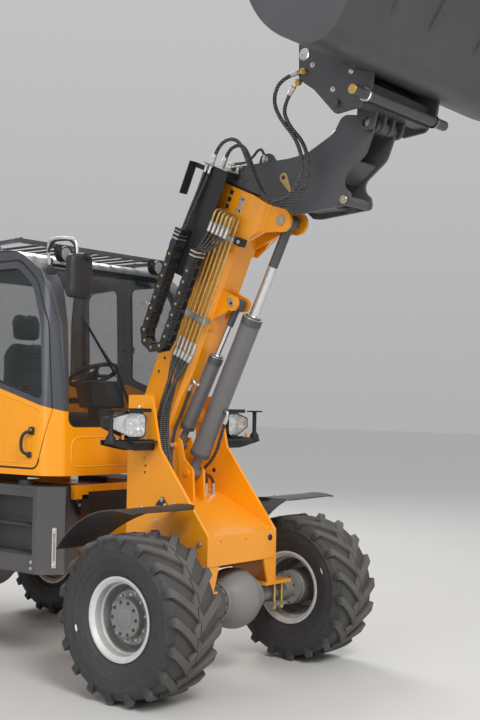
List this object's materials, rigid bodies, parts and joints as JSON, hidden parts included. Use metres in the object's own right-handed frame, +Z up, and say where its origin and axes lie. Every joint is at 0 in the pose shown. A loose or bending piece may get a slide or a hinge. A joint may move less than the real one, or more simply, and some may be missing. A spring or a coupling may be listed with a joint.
{
  "type": "telescopic wheel loader",
  "caption": "Articulated wheel loader with a telescopic boom, cab, bucket, opening doors and hood, and coupled hydraulic cylinders.",
  "frame": {"origin": "on the ground, under the middle of the machine's overall length and width at rest", "axes": "+X towards the bucket, +Y to the machine's left, +Z up"},
  "size_m": [5.3197, 1.956, 4.1964],
  "materials": {
    "orange_yellow_paint": "gloss",
    "dark_grey_paint": "satin",
    "machined_steel": "polished",
    "axle_grey_paint": "satin",
    "engine_grey_paint": "satin",
    "cab_grey_paint": "satin",
    "rim_grey_paint": "satin",
    "black_steel": "matt",
    "zinc_plated_steel": "satin",
    "black_plastic": "matt",
    "rubber_mat": "matt",
    "hose_rubber": "matt",
    "tyre": "matt",
    "seat_fabric": "woven",
    "window_glass": "clear",
    "lamp_glass": "clear",
    "red_lens": "gloss"
  },
  "bodies": {
    "rear_frame": {"rear_frame": "orange_yellow_paint", "rear_axle": "axle_grey_paint", "rear_fenders": "black_plastic", "junction_box": "black_plastic", "engine_block": "engine_grey_paint", "counterweight": "dark_grey_paint", "tow_hitch": "dark_grey_paint", "tow_jaw": "dark_grey_paint", "side_tanks": "dark_grey_paint", "cab_tub": "orange_yellow_paint", "cab_floor": "rubber_mat", "cab_pillars": "cab_grey_paint", "cab_roof": "cab_grey_paint", "fixed_glass": "window_glass", "roof_guard": "dark_grey_paint", "work_lights": "lamp_glass", "seat_base": "black_plastic", "seat_cushion": "seat_fabric", "seat_back": "seat_fabric", "steering_column": "black_plastic", "steering_wheel": "black_plastic", "mirrors": "black_plastic", "tail_lights": "red_lens"},
    "hood": {"hood": "orange_yellow_paint", "exhaust_stack": "black_steel"},
    "right_door": {"right_door": "orange_yellow_paint", "right_door_glass": "window_glass"},
    "left_door": {"left_door": "orange_yellow_paint", "left_door_glass": "window_glass"},
    "front_frame": {"front_frame": "orange_yellow_paint", "front_axle": "axle_grey_paint", "front_fenders": "black_plastic", "headlights": "lamp_glass"},
    "front_right_wheel": {"front_right_tyre": "tyre", "front_right_rim": "rim_grey_paint"},
    "front_left_wheel": {"front_left_tyre": "tyre", "front_left_rim": "rim_grey_paint"},
    "rear_right_wheel": {"rear_right_tyre": "tyre", "rear_right_rim": "rim_grey_paint"},
    "rear_left_wheel": {"rear_left_tyre": "tyre", "rear_left_rim": "rim_grey_paint"},
    "boom": {"boom_tube": "orange_yellow_paint", "boom_pipes": "zinc_plated_steel", "energy_chain": "black_plastic", "boom_hoses": "hose_rubber"},
    "telescope": {"inner_tube": "dark_grey_paint", "gooseneck": "dark_grey_paint", "hose_guard": "dark_grey_paint", "tool_hoses": "hose_rubber"},
    "carrier": {"carrier": "dark_grey_paint", "bucket": "dark_grey_paint"},
    "lift_barrel": {"lift_barrel": "dark_grey_paint"},
    "lift_rod": {"lift_rod": "machined_steel"},
    "level_barrel": {"level_barrel": "dark_grey_paint"},
    "level_rod": {"level_rod": "machined_steel"},
    "tilt_barrel": {"tilt_barrel": "dark_grey_paint"},
    "tilt_rod": {"tilt_rod": "machined_steel"},
    "steering_barrel": {"steering_barrel": "dark_grey_paint"},
    "steering_rod": {"steering_rod": "machined_steel"}
  },
  "joints": [
    {"name": "articulation", "type": "hinge", "parent": "rear_frame", "child": "front_frame", "pos_m": [-0.39, 0, 0.8], "axis": [0, 0, 1], "range_deg": [-38, 38]},
    {"name": "front_right_wheel_spin", "type": "hinge", "parent": "front_frame", "child": "front_right_wheel", "pos_m": [0.785, -0.781, 0.4725], "axis": [0, 1, 0], "continuous": true},
    {"name": "front_left_wheel_spin", "type": "hinge", "parent": "front_frame", "child": "front_left_wheel", "pos_m": [0.785, 0.781, 0.4725], "axis": [0, 1, 0], "continuous": true},
    {"name": "rear_right_wheel_spin", "type": "hinge", "parent": "rear_frame", "child": "rear_right_wheel", "pos_m": [-1.565, -0.781, 0.4725], "axis": [0, 1, 0], "continuous": true},
    {"name": "rear_left_wheel_spin", "type": "hinge", "parent": "rear_frame", "child": "rear_left_wheel", "pos_m": [-1.565, 0.781, 0.4725], "axis": [0, 1, 0], "continuous": true},
    {"name": "right_door_hinge", "type": "hinge", "parent": "rear_frame", "child": "right_door", "pos_m": [-0.837, -0.716, 1.9], "axis": [0, 0, -1], "range_deg": [0, 80]},
    {"name": "left_door_hinge", "type": "hinge", "parent": "rear_frame", "child": "left_door", "pos_m": [-0.837, 0.716, 1.9], "axis": [0, 0, 1], "range_deg": [0, 80]},
    {"name": "hood_hinge", "type": "hinge", "parent": "rear_frame", "child": "hood", "pos_m": [-1.355, 0, 1.745], "axis": [0, 1, 0], "range_deg": [0, 50]},
    {"name": "boom_lift", "type": "hinge", "parent": "front_frame", "child": "boom", "pos_m": [0.315, 0, 1.6], "axis": [0, -1, 0], "range_deg": [-84, 0], "deforming": ["boom_hoses"]},
    {"name": "telescope", "type": "slide", "parent": "boom", "child": "telescope", "axis": [0.4067, 0, 0.9135], "range_m": [0, 0.85]},
    {"name": "bucket_tilt", "type": "hinge", "parent": "telescope", "child": "carrier", "pos_m": [1.87, 0, 3.268], "axis": [0, 1, 0], "range_deg": [-40, 95], "deforming": ["tool_hoses"]},
    {"name": "lift_barrel_pin", "type": "hinge", "parent": "front_frame", "child": "lift_barrel", "pos_m": [0.485, 0, 1.242], "axis": [0, -1, 0], "range_deg": [-82.32, 0.05]},
    {"name": "lift_rod_slide", "type": "slide", "parent": "lift_barrel", "child": "lift_rod", "axis": [0.438, 0, 0.899], "range_m": [-0.5324, 0.0002]},
    {"name": "level_barrel_pin", "type": "hinge", "parent": "front_frame", "child": "level_barrel", "pos_m": [0.373, 0, 1.412], "axis": [0, -1, 0], "range_deg": [-80.56, 0.05]},
    {"name": "level_rod_slide", "type": "slide", "parent": "level_barrel", "child": "level_rod", "axis": [0.4653, 0, 0.8852], "range_m": [-0.2559, 0.0002]},
    {"name": "tilt_barrel_pin", "type": "hinge", "parent": "telescope", "child": "tilt_barrel", "pos_m": [1.275, 0, 3.03], "axis": [0, -1, 0], "range_deg": [-2.82, 1.22]},
    {"name": "tilt_rod_slide", "type": "slide", "parent": "tilt_barrel", "child": "tilt_rod", "axis": [0.8498, 0, 0.5272], "range_m": [-0.0656, 0.1555]},
    {"name": "steering_barrel_pin", "type": "hinge", "parent": "rear_frame", "child": "steering_barrel", "pos_m": [-0.915, 0.232, 0.8], "axis": [0, 0, 1], "range_deg": [-0.63, 0.63]},
    {"name": "steering_rod_slide", "type": "slide", "parent": "steering_barrel", "child": "steering_rod", "axis": [0.9994, 0.0343, 0], "range_m": [-0.1557, 0.1557]}
  ],
  "couplings": [
    {"joint": "lift_barrel_pin", "follows": "boom_lift", "ratio": 0.97938},
    {"joint": "lift_rod_slide", "follows": "boom_lift", "m_per_rad": 0.36301},
    {"joint": "level_barrel_pin", "follows": "boom_lift", "ratio": 0.95841},
    {"joint": "level_rod_slide", "follows": "boom_lift", "m_per_rad": 0.17444},
    {"joint": "tilt_barrel_pin", "follows": "bucket_tilt", "ratio": -0.02913},
    {"joint": "tilt_rod_slide", "follows": "bucket_tilt", "m_per_rad": 0.093673},
    {"joint": "steering_barrel_pin", "follows": "articulation", "ratio": 0.015308},
    {"joint": "steering_rod_slide", "follows": "articulation", "m_per_rad": -0.2345}
  ]
}
